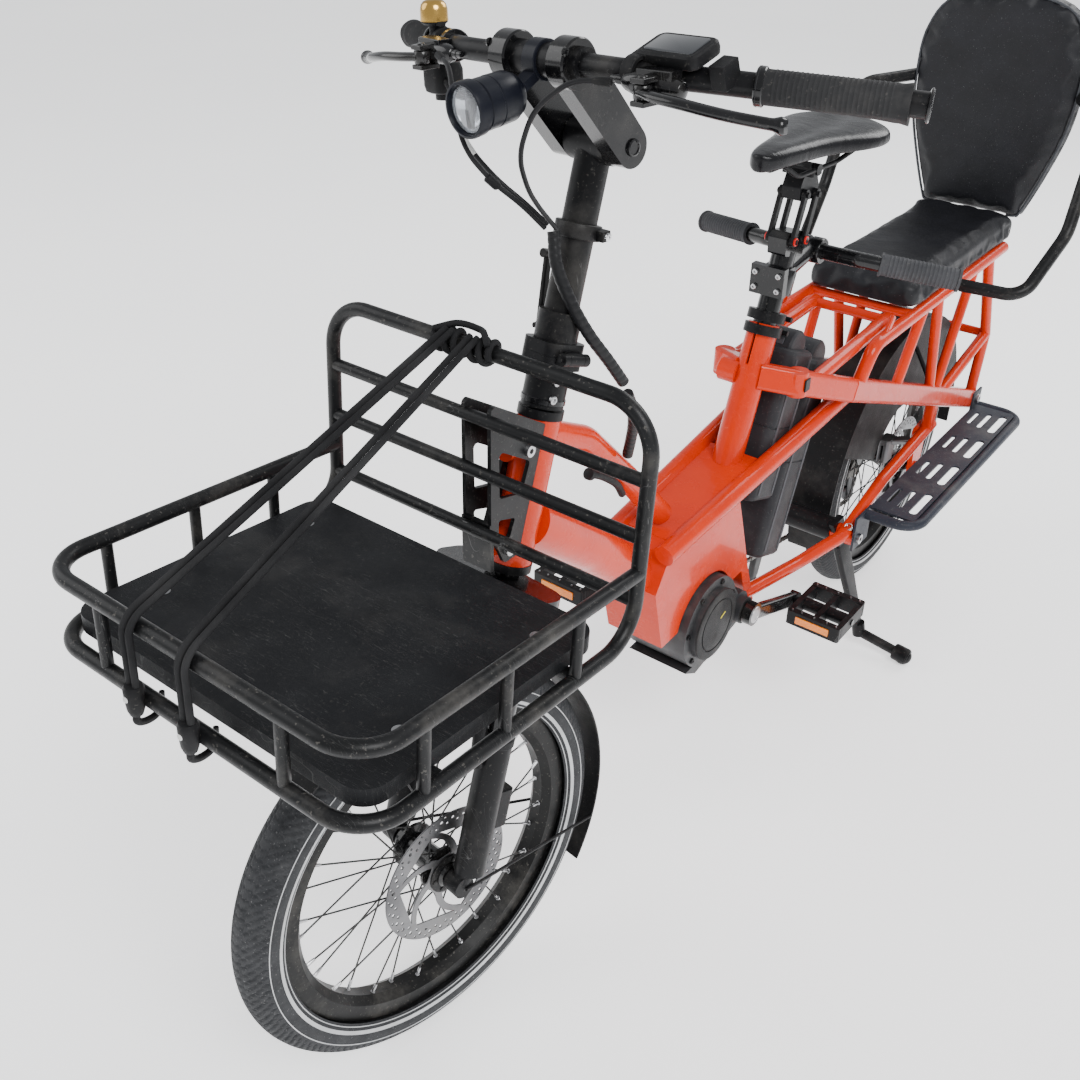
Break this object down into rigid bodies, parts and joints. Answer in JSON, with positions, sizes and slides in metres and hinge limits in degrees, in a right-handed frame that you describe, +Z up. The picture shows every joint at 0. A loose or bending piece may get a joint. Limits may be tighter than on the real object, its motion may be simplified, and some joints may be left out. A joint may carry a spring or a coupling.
{
  "type": "cargo bicycle",
  "caption": "Compact long-tail electric cargo bicycle with 20 inch wheels, a tube basket and deck on the front, a padded passenger seat with hoops and footplates, and a folding handlepost.",
  "frame": {"origin": "on the ground, at the middle of the bicycle's outline in X and Y", "axes": "+X towards the rider's left, +Y towards the rear (the bicycle heads along -Y), +Z up"},
  "size_m": [0.7074, 1.8848, 1.1857],
  "materials": {
    "frame_paint": "gloss",
    "black_alloy": "satin",
    "black_steel": "satin",
    "bare_steel": "satin",
    "bright_alloy": "satin",
    "black_plastic": "satin",
    "case_plastic": "matte",
    "soft_rubber": "matte",
    "tyre_rubber": "matte",
    "vinyl": "satin",
    "board": "satin",
    "motor_case": "matte"
  },
  "bodies": {
    "frame": {"front_frame": "frame_paint", "headset_cups": "black_alloy", "main_beam": "frame_paint", "seat_tube": "frame_paint", "seat_collars": "black_alloy", "rear_beams": "frame_paint", "rear_stays": "frame_paint", "rack_rails": "frame_paint", "rack_struts": "frame_paint", "motor": "motor_case", "batteries": "case_plastic", "chain": "bare_steel", "derailleur_and_caliper": "bare_steel", "rear_fender": "black_plastic", "footplates": "black_alloy", "front_rack_hoop": "black_alloy", "front_rack_bars": "black_alloy", "deck_board": "board", "bungee_cord": "soft_rubber", "bungee_hooks": "black_plastic", "fastener_bolts": "bare_steel", "bundle_lower": "soft_rubber", "seat_pad": "vinyl", "back_pad": "vinyl", "seat_hoops": "black_alloy"},
    "rear_wheel": {"rear_tyre": "tyre_rubber", "rear_rim": "black_alloy", "rear_spokes": "bare_steel", "rear_hub": "bright_alloy"},
    "cassette": {"cassette": "bare_steel"},
    "crank": {"cranks": "black_alloy"},
    "pedal_left": {"pedal_left": "black_plastic"},
    "pedal_right": {"pedal_right": "black_plastic"},
    "kickstand": {"kickstand": "black_alloy"},
    "seatpost": {"seatpost": "black_alloy", "stoker_bar": "black_alloy"},
    "link_front": {"link_front": "black_alloy"},
    "link_rear": {"link_rear": "black_alloy"},
    "saddle": {"saddle_clamp": "black_alloy", "saddle": "vinyl"},
    "steering": {"fork_crown": "black_alloy", "post_base": "black_alloy"},
    "fork_lower": {"fork_lowers": "black_alloy", "front_fender": "black_plastic"},
    "front_wheel": {"front_tyre": "tyre_rubber", "front_rim": "black_alloy", "front_spokes": "bare_steel", "front_hub": "bright_alloy"},
    "handlepost": {"post_upper": "black_alloy", "bundle_upper": "soft_rubber"},
    "latch_lever": {"latch_lever": "black_alloy"},
    "stem": {"stem_arms": "black_alloy", "handlebar": "black_alloy", "grips": "soft_rubber", "bar_controls": "black_plastic", "headlight": "black_plastic", "bar_hoses": "black_plastic"},
    "brake_lever_left": {"brake_lever_left": "black_alloy"},
    "brake_lever_right": {"brake_lever_right": "black_alloy"},
    "shift_lever": {"shift_lever": "black_plastic"}
  },
  "joints": [
    {"name": "steering", "type": "hinge", "parent": "frame", "child": "steering", "pos_m": [0, -0.61036, 0.24964], "axis": [0, 0.309, 0.9511], "range_deg": [-31, 49]},
    {"name": "fork_travel", "type": "slide", "parent": "steering", "child": "fork_lower", "axis": [0, 0.309, 0.9511], "range_m": [0, 0.04], "stiffness_N_per_m": 9000, "springref_m": -0.018},
    {"name": "front_wheel_spin", "type": "hinge", "parent": "fork_lower", "child": "front_wheel", "pos_m": [-0.00626, -0.64793, 0.26185], "axis": [0.9877, -0.1488, 0.0483], "continuous": true},
    {"name": "post_fold", "type": "hinge", "parent": "steering", "child": "handlepost", "pos_m": [0.03259, -0.42028, 0.85135], "axis": [0.1564, 0.9393, -0.3052], "range_deg": [0, 90]},
    {"name": "latch_lever_turn", "type": "hinge", "parent": "handlepost", "child": "latch_lever", "pos_m": [-0.02371, -0.40438, 0.87142], "axis": [-0.1564, -0.9393, 0.3052], "range_deg": [0, 95]},
    {"name": "stem_tilt", "type": "hinge", "parent": "handlepost", "child": "stem", "pos_m": [0, -0.3464, 1.062], "axis": [0.9877, -0.1488, 0.0483], "range_deg": [-20, 25], "deforming": ["bar_hoses"]},
    {"name": "brake_lever_left_pull", "type": "hinge", "parent": "stem", "child": "brake_lever_left", "pos_m": [0.13162, -0.4664, 1.14781], "axis": [-0.0483, 0.0036, 0.9988], "range_deg": [0, 12], "stiffness_Nm_per_rad": 2, "springref_deg": -3},
    {"name": "brake_lever_right_pull", "type": "hinge", "parent": "stem", "child": "brake_lever_right", "pos_m": [-0.16864, -0.42117, 1.13311], "axis": [0.0483, -0.0036, -0.9988], "range_deg": [0, 12], "stiffness_Nm_per_rad": 2, "springref_deg": -3},
    {"name": "shift_lever_push", "type": "hinge", "parent": "stem", "child": "shift_lever", "pos_m": [-0.1944, -0.3607, 1.08018], "axis": [-0.0483, 0.0036, 0.9988], "range_deg": [0, 25], "stiffness_Nm_per_rad": 0.3, "springref_deg": -3},
    {"name": "rear_wheel_spin", "type": "hinge", "parent": "frame", "child": "rear_wheel", "pos_m": [0, 0.6446, 0.262], "axis": [1, 0, 0], "continuous": true},
    {"name": "crank_spin", "type": "hinge", "parent": "frame", "child": "crank", "pos_m": [0, -0.0054, 0.293], "axis": [1, 0, 0], "continuous": true},
    {"name": "cassette_spin", "type": "hinge", "parent": "frame", "child": "cassette", "pos_m": [0, 0.6446, 0.262], "axis": [1, 0, 0], "continuous": true},
    {"name": "pedal_left_spin", "type": "hinge", "parent": "crank", "child": "pedal_left", "pos_m": [0.138, 0.15222, 0.22932], "axis": [1, 0, 0], "continuous": true},
    {"name": "pedal_right_spin", "type": "hinge", "parent": "crank", "child": "pedal_right", "pos_m": [-0.138, -0.16302, 0.35668], "axis": [1, 0, 0], "continuous": true},
    {"name": "kickstand_fold", "type": "hinge", "parent": "frame", "child": "kickstand", "pos_m": [0, 0.3246, 0.272], "axis": [1, 0, 0], "range_deg": [0, 70]},
    {"name": "seatpost_height", "type": "slide", "parent": "frame", "child": "seatpost", "axis": [0, 0.3453, 0.9385], "range_m": [-0.02, 0.1]},
    {"name": "link_front_pivot", "type": "hinge", "parent": "seatpost", "child": "link_front", "pos_m": [0, 0.1086, 0.838], "axis": [-1, 0, 0], "range_deg": [0, 30], "stiffness_Nm_per_rad": 60, "springref_deg": -6},
    {"name": "link_rear_pivot", "type": "hinge", "parent": "seatpost", "child": "link_rear", "pos_m": [0, 0.1426, 0.832], "axis": [-1, 0, 0], "range_deg": [0, 30]},
    {"name": "saddle_pivot", "type": "hinge", "parent": "link_front", "child": "saddle", "pos_m": [0, 0.1306, 0.898], "axis": [-1, 0, 0], "range_deg": [-30, 0]}
  ],
  "couplings": [
    {"joint": "cassette_spin", "follows": "crank_spin", "ratio": 0.5625},
    {"joint": "link_rear_pivot", "follows": "link_front_pivot", "ratio": 1},
    {"joint": "saddle_pivot", "follows": "link_front_pivot", "ratio": -1}
  ]
}
